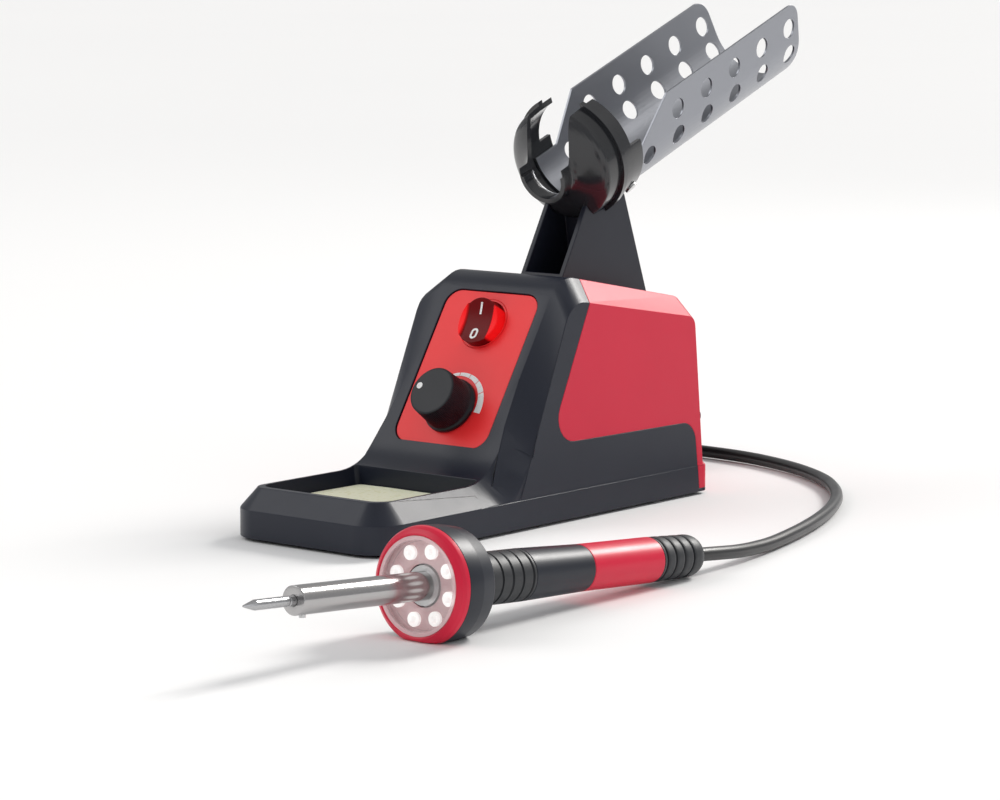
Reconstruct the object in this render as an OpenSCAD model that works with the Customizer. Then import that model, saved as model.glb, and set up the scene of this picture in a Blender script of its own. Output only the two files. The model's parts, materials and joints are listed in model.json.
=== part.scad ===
// Soldering iron station: a housing with a sponge tray, a lit rocker switch and a temperature knob, a holder
// for the iron on its roof, and a soldering iron with a ring of lamps that lies beside it on its cord.
// +X is right, the tray points to -Y and +Z is up. The origin is on the bench under the station's middle.

/* [Station housing] */
// Width of the station
body_w = 80; // [74:1:96]
// Length of the station on the bench
body_l = 208; // [204:1:250]
// Wall of the housing
wall = 2.4; // [1.6:0.1:3]
// Gap between the bench and the housing's lower edge
ground_gap = 1; // [0.5:0.1:2]
// Height of the upright skirt
skirt_h = 12; // [9:0.5:14]
// Height of the tray's rim
rim_h = 20; // [18:0.5:24]
// How far the rim stands in from the skirt
rim_inset = 7; // [5:0.5:9]
// Radius of the two front corners
corner_r = 14; // [10:1:20]
// Radius of the two rear corners
rear_r = 4; // [2:0.5:8]
// Height of the roof where it meets the front frame
roof_h = 96; // [92:1:110]
// Fall of the roof towards the rear, degrees
roof_fall = 9.95; // [5:0.5:12]
// Lean of the rear wall, degrees
rear_lean = 4; // [2:0.5:6]
// Height of the lower edge of the cover on the side
seam_h = 32; // [26:1:40]

/* [Sponge tray] */
// Depth of the tray from front to back, at its floor
tray_l = 56; // [44:1:60]
// Width of the tray at its floor
tray_w = 60; // [48:1:62]
// Height of the tray's floor
tray_floor = 5; // [4.5:0.5:8]
// Thickness of the sponge
sponge_t = 9; // [6:0.5:11]
// Gap between the sponge and the tray
sponge_gap = 0.8; // [0.4:0.1:2]

/* [Control panel] */
// Slope of the front face, degrees from level
face_slope = 57.4; // [52:0.2:62]
// Width of the front face at the top
face_w = 57; // [54:0.5:62]
// Width of the control panel
panel_w = 47.6; // [42:0.2:50]
// Length of the control panel up the slope
panel_l = 68.4; // [60:0.2:70]
// Thickness of the control panel
panel_t = 1.6; // [1:0.1:2.4]
// Corner radius of the control panel
panel_r = 7; // [3:0.5:9]
// How far the panel lies under the face
panel_sink = 0.5; // [0:0.1:1]
// Height of the panel's middle above the bench
panel_z = 60.2; // [56:0.2:64]

/* [Switch] */
// Diameter of the round rocker
rocker_d = 19.4; // [16:0.2:21]
// Height of the rocker above the panel
rocker_h = 5; // [3:0.2:7]
// Distance of the rocker's middle above the panel's middle
rocker_up = 20; // [18:0.2:21]
// Throw of the rocker between its two positions, degrees
rocker_throw = 14; // [8:1:16]
// Gap around the rocker
rocker_gap = 0.5; // [0.4:0.1:0.8]

/* [Temperature knob] */
// Diameter of the knob's cap
knob_d = 20.4; // [17:0.2:23]
// Diameter of the knob's foot flange
knob_foot_d = 23.4; // [20:0.2:25]
// Height of the knob above the panel
knob_h = 14.5; // [11:0.5:18]
// Distance of the knob's middle below the panel's middle
knob_down = 17.4; // [16:0.2:19]
// Diameter of the potentiometer's shaft
shaft_d = 6; // [5:0.1:6.4]
// Outer radius of the scale
scale_r = 15.2; // [14.5:0.1:16.8]

/* [Holder] */
// Rise of the holder's axis, degrees
holder_tilt = 21.3; // [18:0.2:25]
// Height of the ring's front middle
holder_z = 133.3; // [131:0.2:137]
// Width of the tower
tower_w = 22; // [20:0.5:28]
// Wall of the tower
tower_wall = 2.2; // [1.6:0.1:3]
// Outer radius of the ring
ring_r = 11.4; // [11:0.1:12.4]
// Outer radius of the bell's flange
flange_r = 26.3; // [26:0.1:28]
// Wall of the funnel
funnel_wall = 1.9; // [1.5:0.1:2.2]
// Width of the slot along the top of the funnel
slot_w = 21.6; // [20:0.2:22]
// Outer radius of the trough's round bottom
trough_r = 22.8; // [22:0.1:23.4]
// Length of the trough
trough_l = 136; // [110:1:150]
// Height of the trough's plates above its axis
trough_up = 13; // [10:0.5:16]
// Outward flare of the plates, degrees
trough_flare = 10; // [6:1:14]
// Thickness of the sheet
sheet_t = 1; // [0.7:0.1:1.4]
// Diameter of the holes in the trough
vent_d = 8.4; // [6:0.2:9]
// Spacing of the holes
vent_pitch = 21.4; // [17:0.1:22]

/* [Iron] */
// Distance of the iron from the station's middle
iron_x = 146; // [130:1:170]
// Outer radius of the head
head_r = 20.2; // [18:0.1:21]
// Radius of the clear lens
lens_r = 16.8; // [14:0.1:17]
// Radius of the lens's inner opening
eye_r = 7.2; // [6.4:0.1:8]
// Radius of the barrel
barrel_r = 4.9; // [4.4:0.1:5.4]
// Length of the barrel in front of the lens
barrel_l = 60; // [45:1:80]
// Radius of the tip's shank
tip_r = 1.75; // [1.2:0.05:2.2]
// Length of the tip in front of the barrel
tip_l = 23.2; // [14:0.2:35]
// Radius of the grip behind the head
grip_r = 9.2; // [8.6:0.1:9.4]
// Radius of the handle's rear end
butt_r = 7.9; // [7.4:0.1:8.4]
// Number of lamps in the head
lamp_count = 8; // [6:1:9]

/* [Cords] */
// Diameter of the iron's cord
cord_d = 5.2; // [4.8:0.1:5.6]
// Radius of the cord's coil at the middle of a turn
coil_r = 29; // [27:0.5:31]
// Turns in the coil
coil_turns = 4; // [3:1:5]

/* [Hidden] */
$fn = 64;
eps = 0.01;
fit = 0.05;
seat = 0.3;

function unit(v) = v / norm(v);
// Points of the arc that rounds the corner p between its neighbours a and b
function corner(a, p, b, r, n) =
  let (u = unit(a - p), v = unit(b - p), half = acos(u * v) / 2, c = p + unit(u + v) * r / sin(half),
    s = p + u * r / tan(half) - c, e = p + v * r / tan(half) - c,
    a0 = atan2(s.y, s.x), d = atan2(e.y, e.x) - a0, turn = d > 180 ? d - 360 : d < -180 ? d + 360 : d)
  [for (i = [0:n]) c + r * [cos(a0 + turn * i / n), sin(a0 + turn * i / n)]];
// An outline with every corner rounded by its own radius
function rounded(p, r, n = 8) = let (m = len(p))
  [for (i = [0:m - 1]) each (r[i] == 0 ? [p[i]] : corner(p[(i + m - 1) % m], p[i], p[(i + 1) % m], r[i], n))];
function rect(w, l) = [[-w / 2, -l / 2], [w / 2, -l / 2], [w / 2, l / 2], [-w / 2, l / 2]];
// An outline listed clockwise, with its sides moved in by t
function right_of(a, b) = unit([b.y - a.y, a.x - b.x]);
function inset(p, t) = let (m = len(p)) [for (i = [0:m - 1])
  let (u = right_of(p[(i + m - 1) % m], p[i]), v = right_of(p[i], p[(i + 1) % m]))
  p[i] + t * (u + v) / (1 + u * v)];
// A solid through rings of points, each with the same number of points
module loft(rings) {
  n = len(rings[0]);
  m = len(rings);
  polyhedron([for (r = rings) each r], concat([[for (k = [n - 1:-1:0]) k]],
    [for (i = [0:m - 2], k = [0:n - 1], h = [0, 1]) let (a = i * n + k, b = i * n + (k + 1) % n)
      h == 0 ? [a, b, a + n] : [b, b + n, a + n]],
    [[for (k = [0:n - 1]) (m - 1) * n + k]]));
}
// An outline in the plane of Y and Z, drawn out to half_w on both sides of the middle
module across(half_w) {
  rotate([90, 0, 90]) translate([0, 0, -half_w]) linear_extrude(2 * half_w) children();
}
module tube(r, hole, h) {
  difference() {
    cylinder(h, r, r);
    translate([0, 0, -1]) cylinder(h + 2, hole, hole);
  }
}

// Housing
front_y = -body_l / 2;
rear_y = body_l / 2;
foot_y = front_y + 59;
function face_y(z) = foot_y + z / tan(face_slope);
ridge_y = foot_y + 62.15;
roof_y = ridge_y + 6.75;
function roof_z(y) = roof_h - (y - roof_y) * tan(roof_fall);
function back_y(z) = rear_y - z * tan(rear_lean);
edge_drop = 9;
edge_in = 3.2;
side_w = body_w - 2.4;
ridge_z = (ridge_y - foot_y) * tan(face_slope);
function climb(a, b) = [for (f = [0, 0.2, 0.3, 0.42, 0.6]) a + (b - a) * f];
// Side outline along the edge of the front face and roof, and the smaller one that the chamfered sides end on
crown = concat(climb([foot_y, 0], [ridge_y, ridge_z]),
  [[ridge_y, ridge_z], [back_y(roof_z(rear_y)), roof_z(rear_y)], [rear_y, 0]]);
crown_r = [0, 0, 0, 0, 0, 14, 6, 0];
flank_top = [ridge_y - 4.8, roof_z(ridge_y) - edge_drop];
flank = concat(climb([foot_y + 18.9, 0], flank_top),
  [flank_top, [rear_y - 9.4, roof_z(rear_y - 9.4) - edge_drop], [rear_y - edge_in, 0]]);
flank_r = [0, 0, 0, 0, 0, 12, 5, 0];
// Half width on the crown's edge, which spreads towards the foot of the front face, and on the flank
spread_z = 58;
spread_w = 6.6;
function spread(z) = spread_w * pow(max(spread_z - z, 0) / (spread_z - rim_h), 1.6);
function crown_x(p) = min(face_w / 2 + (p.x > ridge_y ? 0 : spread(p.y)), body_w / 2 - 3);
function flank_x(p) = body_w / 2 - (body_w - side_w) / 2 * p.y / roof_h;
function side_points(outline, r, t) = rounded(inset(outline, t), r, 6);
// The upper body, all its faces moved in by t
module upper(t) {
  c = side_points(crown, crown_r, t);
  f = side_points(flank, flank_r, t);
  loft([[for (p = f) [t - flank_x(p), p.x, p.y]], [for (p = c) [t - crown_x(p), p.x, p.y]],
    [for (p = c) [crown_x(p) - t, p.x, p.y]], [for (p = f) [flank_x(p) - t, p.x, p.y]]]);
}
function base_outline(t) = rounded([[-body_w / 2 + t, front_y + t], [body_w / 2 - t, front_y + t],
  [body_w / 2 - t, rear_y - t], [-body_w / 2 + t, rear_y - t]],
  [corner_r - t, corner_r - t, max(rear_r - t, 0.5), max(rear_r - t, 0.5)]);
module base_block() {
  hull() {
    translate([0, 0, ground_gap]) linear_extrude(skirt_h - ground_gap) polygon(base_outline(0));
    translate([0, 0, rim_h - eps]) linear_extrude(eps) polygon(base_outline(rim_inset));
  }
}
// The rim's sweep up into the front frame: a ring across the body for each step, with its crest on the
// crease and its outer corner on the side
rim_x = body_w / 2 - rim_inset;
sweep_from = foot_y - 4;
crest_run = 26.6;
crest_rise = 14.6;
outer_run = 35.6;
outer_rise = 17;
sweep_steps = 12;
crest_x = crown_x([foot_y, rim_h + crest_rise]);
function sweep_ring(t, run) = let (
    z = rim_h + crest_rise * pow(t, 2.8), w = skirt_h + outer_rise * pow(t, 4.8),
    y = sweep_from + run * t, v = sweep_from + outer_run * t, x = rim_x + (crest_x - rim_x) * t * t,
    u = flank_x([0, w * t]) - 0.2 * t, low = ground_gap + 1)
  [[u, v, low], [u, v, w], [x, y, z], [-x, y, z], [-u, v, w], [-u, v, low]];
module rim_sweep() {
  rings = [for (i = [0:sweep_steps]) sweep_ring(i / sweep_steps, crest_run)];
  loft(concat(rings, [sweep_ring(1, outer_run)]));
}
module outer_body() {
  intersection() {
    union() { base_block(); upper(0); rim_sweep(); }
    translate([-body_w, front_y - 1, ground_gap]) cube([2 * body_w, body_l + 2, 2 * roof_h]);
  }
}
// Side view of what belongs to the cover
cover_edge = rounded([[roof_y + 7.5, 2 * roof_h], [roof_y + 7.5, roof_h], [roof_y + 0.5, roof_h - edge_drop],
  [foot_y + 42.5, seam_h], [rear_y - 10, seam_h - 1], [rear_y - 6.8, ground_gap + 1.4],
  [rear_y + 9, ground_gap + 1.4], [rear_y + 9, 2 * roof_h]], [0, 0, 0, 10, 9, 0, 0, 0]);
module cover_zone() { across(body_w) polygon(cover_edge); }
plate_top = ground_gap + 2.6;
module plate_pocket(t) {
  translate([0, 0, -eps]) linear_extrude(plate_top) polygon(base_outline(t));
}

// Tray
tray_y = foot_y + 8 - tray_l / 2;
tray_rear = tray_y + tray_l / 2;
tray_open = 1.9;
tray_clear = 12;
function tray_top() = rounded(rect(tray_w + 2 * tray_open, tray_l + tray_open / 2), [7, 7, 2, 2]);
module tray_hollow() {
  hull() {
    translate([0, tray_y, tray_floor]) linear_extrude(eps)
      polygon(rounded(rect(tray_w, tray_l), [5, 5, 2, 2]));
    translate([0, tray_y - tray_open / 4, rim_h]) linear_extrude(eps) polygon(tray_top());
  }
  translate([0, tray_y - tray_open / 4, rim_h]) linear_extrude(tray_clear) polygon(tray_top());
}
// Hollow under the tray's walls, open below
module tray_core() {
  translate([0, 0, -eps]) linear_extrude(skirt_h - 2) difference() {
    intersection() {
      polygon(base_outline(wall));
      translate([-body_w, front_y]) square([2 * body_w, tray_rear - front_y]);
    }
    translate([0, tray_y])
      polygon(rounded(rect(tray_w + 2 * tray_open + wall, tray_l + 2 * wall), [5, 5, 2, 2]));
  }
}

// Control panel: its own frame lies on the face, with Y up the slope and Z outwards
module on_panel(up = 0, out = 0) {
  translate([0, face_y(panel_z), panel_z]) rotate([face_slope, 0, 0])
    translate([0, up, out - panel_sink]) children();
}
module panel_outline(gap) {
  polygon(rounded(rect(panel_w + 2 * gap, panel_l + 2 * gap), [for (i = [0:3]) panel_r + gap]));
}
rocker_hole_r = rocker_d / 2 + rocker_gap;
bezel_r = rocker_hole_r + 0.7;
shaft_r = shaft_d / 2;
bush_r = shaft_r + 1.5;
module face_cuts() {
  on_panel(0, -panel_t - fit) linear_extrude(20) panel_outline(0.25);
  on_panel(rocker_up, -20) cylinder(30, bezel_r + 0.1, bezel_r + 0.1);
  on_panel(-knob_down, -20) cylinder(30, bush_r + 0.1, bush_r + 0.1);
}

module front_housing() {
  color([0.09, 0.1, 0.12]) difference() {
    union() {
      difference() {
        outer_body();
        upper(wall);
        cover_zone();
        tray_hollow();
        tray_core();
        plate_pocket(wall);
        face_cuts();
      }
      for (p = plate_screw_at) translate([p.x, p.y, plate_top]) cylinder(boss_h, boss_r, boss_r);
    }
    for (p = plate_screw_at) translate([p.x, p.y, plate_top - 1])
      cylinder(boss_h, screw_r + fit, screw_r + fit);
    for (p = relief_at) on_rear(p, -20) cylinder(40, relief_neck_r + fit, relief_neck_r + fit);
  }
}
module rear_cover() {
  color([0.8, 0.12, 0.16]) difference() {
    intersection() { outer_body(); cover_zone(); }
    upper(wall);
    plate_pocket(wall);
    for (p = relief_at) on_rear(p, -20) cylinder(40, relief_neck_r + fit, relief_neck_r + fit);
    for (y = tower_screw_y) translate([0, y, 0]) cylinder(2 * roof_h, 1.7, 1.7);
  }
}

// Underside
foot_r = 5;
plate_t = 1.8;
plate_z = plate_top - plate_t - fit;
// Four feet near the corners and one pad under the middle
foot_at = concat([[0, 0]], [for (x = [-1, 1], y = [front_y + 17, rear_y - 15]) [x * (body_w / 2 - 13), y]]);
boss_r = 3;
boss_h = 7.4;
screw_r = 1.25;
boss_x = body_w / 2 - wall - boss_r + 0.6;
plate_screw_at = [for (x = [-boss_x, boss_x], y = [front_y + 30, rear_y - 30]) [x, y]];
module bottom_plate() {
  color([0.1, 0.1, 0.11]) difference() {
    translate([0, 0, plate_z]) linear_extrude(plate_t) polygon(base_outline(wall + 0.2));
    for (p = plate_screw_at) translate([p.x, p.y, 0]) cylinder(20, 1.6, 1.6);
  }
}
module plate_screws() {
  color([0.6, 0.6, 0.62]) for (p = plate_screw_at) translate([p.x, p.y, plate_z]) {
    translate([0, 0, -1.1]) cylinder(1.1, 2.4, 2.4);
    cylinder(plate_t + 6, screw_r, screw_r);
  }
}
module feet() {
  color([0.06, 0.06, 0.06]) for (p = foot_at) translate([p.x, p.y, 0]) cylinder(plate_z, foot_r, foot_r);
}

module control_panel() {
  color([0.86, 0.16, 0.2]) on_panel(0, -panel_t) difference() {
    linear_extrude(panel_t) panel_outline(0);
    translate([0, rocker_up, -1]) cylinder(panel_t + 2, bezel_r + 0.1, bezel_r + 0.1);
    translate([0, -knob_down, -1]) cylinder(panel_t + 2, bush_r + 0.1, bush_r + 0.1);
  }
}
// Scale: segments that widen clockwise, angles from the panel's up direction
scale_start = -24;
scale_ends = [[-24, -8.5], [-7, 13], [14.5, 34], [35.5, 58], [59.5, 96]];
scale_t = 0.15;
function scale_inner(a) = scale_r - 1.1 - 2.1 * (a - scale_start) / 120;
function on_dial(r, a) = [r * sin(a), r * cos(a)];
module scale_marks() {
  color("white") on_panel(-knob_down) for (e = scale_ends) linear_extrude(scale_t)
    polygon(concat([for (i = [0:8]) on_dial(scale_r, e[0] + (e[1] - e[0]) * i / 8)],
      [for (i = [8:-1:0]) let (a = e[0] + (e[1] - e[0]) * i / 8) on_dial(scale_inner(a), a)]));
}

// Rocker switch
well = 4.8;
body_depth = 15;
pivot_out = -2.6;
pin_r = 1;
rocker_from = 0.5;
rest_tilt = rocker_throw / 2;
module on_pivot() { on_panel(rocker_up, pivot_out) children(); }
module switch_body() {
  color([0.12, 0.12, 0.13]) on_panel(rocker_up) difference() {
    union() {
      translate([0, 0, -well - 1.4]) cylinder(well + 1.4, bezel_r, bezel_r);
      translate([-rocker_d / 2 + 1.5, -rocker_d / 2 + 1.5, -body_depth])
        cube([rocker_d - 3, rocker_d - 3, body_depth - well]);
      for (x = [-5, 5]) translate([x - 0.4, -2.4, -body_depth - 7]) cube([0.8, 4.8, 8]);
    }
    translate([0, 0, -well]) cylinder(well + 1, rocker_hole_r, rocker_hole_r);
    translate([0, 0, -body_depth + 2]) cylinder(body_depth, 3.4, 3.4);
    translate([-bezel_r - 1, 0, pivot_out]) rotate([0, 90, 0]) cylinder(2 * bezel_r + 2, pin_r, pin_r);
  }
}
module switch_pin() {
  color([0.7, 0.7, 0.72]) on_pivot() rotate([0, 90, 0])
    translate([0, 0, -bezel_r + fit]) cylinder(2 * bezel_r - 2 * fit, pin_r, pin_r);
}
module switch_lamp() {
  color([1, 0.5, 0.3]) on_panel(rocker_up, -body_depth + 2) cylinder(8, 2.2, 2.2);
}
saddle_r = 26;
// Height of the rocker's ends and of the finger saddle between them, above the pivot
rocker_top = rocker_h - pivot_out;
saddle_drop = 1.5;
module rocker() {
  color([0.75, 0.05, 0.05]) on_pivot() rotate([rest_tilt, 0, 0]) difference() {
    union() {
      translate([0, 0, rocker_from]) cylinder(rocker_top + 0.6 - rocker_from, rocker_d / 2, rocker_d / 2);
      for (x = [-5.4, 3.4]) translate([x, -1.8, -1.5]) cube([2, 3.6, 3]);
    }
    for (h = [[13.2, saddle_r, saddle_drop], [2 * rocker_d, 0.8 * saddle_r, saddle_drop - 0.6]])
      translate([-h[0] / 2, 0, rocker_top - h[2] + h[1]]) rotate([0, 90, 0])
        cylinder(h[0], h[1], h[1], $fn = 96);
    translate([0, 0, -2]) cylinder(5, 3.2, 3.2);
    translate([-rocker_d, 0, 0]) rotate([0, 90, 0]) cylinder(2 * rocker_d, pin_r + fit, pin_r + fit);
  }
}
mark_t = 0.12;
mark_w = 0.9;
mark_l = 4.8;
bar_y = 3;
ring_y = -5.4;
ring_mark_r = 1.7;
// A flat ring with straight sides, like a zero
module zero_outline(r) {
  straight = mark_l / 2 - ring_mark_r;
  for (s = [-1, 1]) translate([0, s * straight]) circle(r);
  translate([-r, -straight]) square([2 * r, 2 * straight]);
}
// The two marks, bent to the finger saddle
module rocker_marks() {
  color("white") on_pivot() rotate([rest_tilt, 0, 0]) intersection() {
    translate([0, 0, 1]) linear_extrude(rocker_top) {
      translate([-mark_w / 2, bar_y]) square([mark_w, mark_l]);
      translate([0, ring_y]) difference() { zero_outline(ring_mark_r); zero_outline(ring_mark_r - mark_w); }
    }
    translate([-5, 0, rocker_top - saddle_drop + saddle_r]) rotate([0, 90, 0])
      tube(saddle_r - 0.01, saddle_r - mark_t, 10, $fn = 96);
  }
}

// Temperature knob on its potentiometer
knob_lift = 0.4;
foot_t = 2;
knob_edge = 0.8;
module temp_knob() {
  color([0.1, 0.1, 0.11]) on_panel(-knob_down, knob_lift) difference() {
    union() {
      cylinder(foot_t, knob_foot_d / 2, knob_foot_d / 2);
      cylinder(knob_h - knob_lift - knob_edge, knob_d / 2, knob_d / 2);
      translate([0, 0, knob_h - knob_lift - knob_edge])
        cylinder(knob_edge, knob_d / 2, knob_d / 2 - knob_edge);
    }
    translate([0, 0, -1]) cylinder(5, bush_r + 3.4, bush_r + 3.4);
    translate([0, 0, -1]) cylinder(knob_h - 3, shaft_r + 0.02, shaft_r + 0.02);
  }
}
dot_angle = -77;
dot_r = 1.35;
module knob_dot() {
  color("white") on_panel(-knob_down, knob_h) translate(concat(on_dial(knob_d / 2 - 3.1, dot_angle), [0]))
    cylinder(0.12, dot_r, dot_r);
}
module pot_body() {
  color([0.5, 0.5, 0.48]) on_panel(-knob_down, 0) difference() {
    union() {
      translate([0, 0, -panel_t - wall - 11]) cylinder(10, 8.5, 8.5);
      translate([0, 0, -panel_t - wall - 2]) cylinder(panel_t + wall + 4.4, bush_r, bush_r);
      for (x = [-5, 0, 5]) translate([x - 0.6, -13, -panel_t - wall - 8]) cube([1.2, 6, 0.8]);
    }
    translate([0, 0, -panel_t - wall - 9]) cylinder(30, shaft_r + fit, shaft_r + fit);
  }
}
module pot_nut() {
  color([0.72, 0.72, 0.74]) on_panel(-knob_down, 0) difference() {
    cylinder(2.2, bush_r + 2.6, bush_r + 2.6, $fn = 6);
    translate([0, 0, -1]) cylinder(4, bush_r, bush_r);
  }
}
module pot_shaft() {
  color([0.75, 0.75, 0.76]) on_panel(-knob_down, -panel_t - wall - 8.8)
    cylinder(panel_t + wall + 8.8 + knob_h - 4, shaft_r, shaft_r);
}

// Circuit board
board_w = body_w - 26;
board_l = 74;
board_z = 16;
board_t = 1.6;
board_y = rear_y - 16 - board_l / 2;
board_hole_at = [for (x = [-1, 1], y = [-1, 1]) [x * (board_w / 2 - 4), board_y + y * (board_l / 2 - 4)]];
module circuit_board() {
  color([0.1, 0.36, 0.2]) difference() {
    translate([-board_w / 2, board_y - board_l / 2, board_z]) cube([board_w, board_l, board_t]);
    for (p = board_hole_at) translate([p.x, p.y, board_z - 1]) cylinder(4, 1.6, 1.6);
  }
}
module board_posts() {
  color([0.12, 0.12, 0.13]) for (p = board_hole_at) translate([p.x, p.y, plate_z + plate_t])
    tube(3.4, 1.2, board_z - plate_z - plate_t);
}
module board_screws() {
  color([0.65, 0.65, 0.66]) for (p = board_hole_at) translate([p.x, p.y, board_z + board_t]) {
    cylinder(1.4, 2.6, 2.6);
    translate([0, 0, -board_t - 5]) cylinder(board_t + 5, 1.15, 1.15);
  }
}
module board_parts() {
  top = board_z + board_t;
  color([0.2, 0.2, 0.22]) translate([0, board_y, top]) {
    for (x = [-14, -4]) translate([x, 20, 0]) cylinder(14, 4, 4);
    translate([8, 12, 0]) cube([14, 8, 12]);
    translate([-20, -12, 0]) rotate_extrude() translate([5.4, 3.2]) circle(3.1);
    translate([4, -16, 0]) cube([3, 16, 22]);
    translate([8, -12, 0]) cube([4.6, 10, 15]);
    for (y = [-4, 2, 8]) translate([-6, y, 0]) cube([7, 2.4, 2.4]);
  }
}
module terminal_block() {
  color([0.2, 0.45, 0.3]) difference() {
    translate([-18, board_y + board_l / 2 - 10, board_z + board_t]) cube([36, 9, 10]);
    for (i = [-2:2]) translate([i * 6.8, board_y + board_l / 2 - 5.5, board_z + board_t + 3])
      cylinder(12, 1.9, 1.9);
  }
}

module sponge() {
  t = sponge_gap;
  color([0.9, 0.9, 0.62]) translate([0, tray_y, tray_floor + seat])
    linear_extrude(sponge_t) polygon(rounded(rect(tray_w - 2 * t, tray_l - 2 * t), [4.4, 4.4, 2, 2]));
}

// Holder: its own frame has Z along the rising axis and -Y up, square to it
holder_y = roof_y + 17.8;
module on_holder(z = 0) {
  translate([0, holder_y, holder_z]) rotate([holder_tilt - 90, 0, 0]) translate([0, 0, z]) children();
}
ring_l = 5;
bell_l = 9;
shoulder_l = 7;
flange_t = 2.6;
back_l = 6;
collar_l = 7.4;
shoulder_r = flange_r - 2;
collar_r = trough_r + 1.8;
flange_z = ring_l + bell_l + shoulder_l;
back_z = flange_z + flange_t;
collar_z = back_z + back_l;
// Outer radius of the bell: it leaves the ring level, swells and ends level on the shoulder
function bell(f) = ring_r + (shoulder_r - ring_r) * (1 - cos(180 * f)) / 2;
bell_steps = 14;
bell_line = [for (i = [0:bell_steps]) [bell(i / bell_steps), ring_l + bell_l * i / bell_steps]];
module funnel_solid() {
  rotate_extrude($fn = 96) polygon(concat([[0, 0], [ring_r, 0]], bell_line, [[shoulder_r + 0.4, flange_z],
    [flange_r, flange_z], [flange_r, back_z], [shoulder_r + 0.7, back_z], [shoulder_r + 0.7, collar_z],
    [collar_r, collar_z], [collar_r, collar_z + collar_l], [0, collar_z + collar_l]]));
}
module cradle() {
  hole = ring_r - funnel_wall;
  color([0.1, 0.1, 0.11]) on_holder() difference() {
    funnel_solid();
    rotate_extrude($fn = 96) polygon(concat([[0, -1], [hole, -1], [hole, ring_l]],
      [for (i = [1:bell_steps]) bell_line[i] - [funnel_wall, -funnel_wall * sin(180 * i / bell_steps)]],
      [[trough_r + fit, flange_z], [trough_r + fit, collar_z + collar_l + 1], [0, collar_z + collar_l + 1]]));
    translate([-slot_w / 2, -2 * flange_r, -1]) cube([slot_w, 2 * flange_r, collar_z + collar_l + 2]);
    translate([-2 * flange_r, -2 * flange_r, collar_z]) cube([4 * flange_r, 2 * flange_r - 2, collar_l + 1]);
    at_rivets() cylinder(40, rivet_r, rivet_r);
  }
}
trough_z = flange_z + 2.4;
rivet_z = collar_z + collar_l / 2;
rivet_at = [-42, 42];
rivet_r = 1.6;
rivet_head_r = 2.8;
module at_rivets() {
  for (a = rivet_at) rotate([0, 0, a]) translate([0, 0, rivet_z]) rotate([-90, 0, 0]) children();
}
// Half of the sheet's face in section: its round bottom at radius r, from the middle outwards, then its flat
// plate, which leaves the arc along its tangent
arc_steps = 16;
function half_face(r) = concat(
  [for (i = [0:arc_steps]) let (a = 90 - (90 - trough_flare) * i / arc_steps) r * [cos(a), sin(a)]],
  [r * [cos(trough_flare), sin(trough_flare)] + 2 * trough_up * [sin(trough_flare), -cos(trough_flare)]]);
module trough_section() {
  outer = half_face(trough_r);
  inner = half_face(trough_r - sheet_t);
  n = len(outer) - 1;
  polygon(concat([for (i = [n:-1:1]) [-outer[i].x, outer[i].y]], outer,
    [for (i = [n:-1:0]) inner[i]], [for (i = [1:n]) [-inner[i].x, inner[i].y]]));
}
vent_z = 66.4;
module trough() {
  end_z = trough_z + trough_l;
  color([0.72, 0.72, 0.72]) on_holder() difference() {
    translate([0, 0, trough_z]) linear_extrude(trough_l) trough_section();
    // Level top edge, slanted front edges and rounded rear corners, seen from the side
    rotate([0, 90, 0]) translate([0, 0, -2 * trough_r]) linear_extrude(4 * trough_r)
      polygon(concat([[0, -100], [0, 3], [-trough_z - 15.2, 3], [-trough_z - 36, -trough_up]],
        [for (i = [0:8]) [-end_z + 7 - 7 * sin(90 * i / 8), -trough_up + 7 - 7 * cos(90 * i / 8)]],
        [[-end_z - 10, -trough_up + 7], [-end_z - 10, -100]]));
    for (i = [0:4]) translate([0, -2.8, vent_z + i * vent_pitch]) rotate([0, 90, 0])
      cylinder(4 * trough_r, vent_d / 2, vent_d / 2, center = true);
    for (i = [-1:4], s = [0, 1]) mirror([s, 0, 0]) translate([0, 0, vent_z + i * vent_pitch])
      rotate([0, 0, 24]) rotate([0, 90, 0]) cylinder(2 * trough_r, vent_d / 2, vent_d / 2);
    at_rivets() cylinder(40, rivet_r, rivet_r);
  }
}
module trough_rivets() {
  color([0.66, 0.66, 0.68]) on_holder() at_rivets() {
    translate([0, 0, trough_r - sheet_t - 0.8])
      cylinder(collar_r - trough_r + sheet_t + 1.6, rivet_r, rivet_r);
    translate([0, 0, trough_r - sheet_t - 1.4]) cylinder(1, rivet_head_r, rivet_head_r);
    translate([0, 0, collar_r + 0.01]) cylinder(1, rivet_head_r, rivet_head_r);
  }
}

tower_front = roof_y + 17.3;
tower_rear = tower_front + 57;
tower_screw_y = [tower_front + 20, tower_front + 42];
tower_top = holder_z + 12;
function tower_front_y(z) = tower_front + (z - roof_z(tower_front)) * 0.56;
function tower_rear_y(z) = tower_rear - (z - roof_z(tower_rear)) * 0.37;
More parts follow.
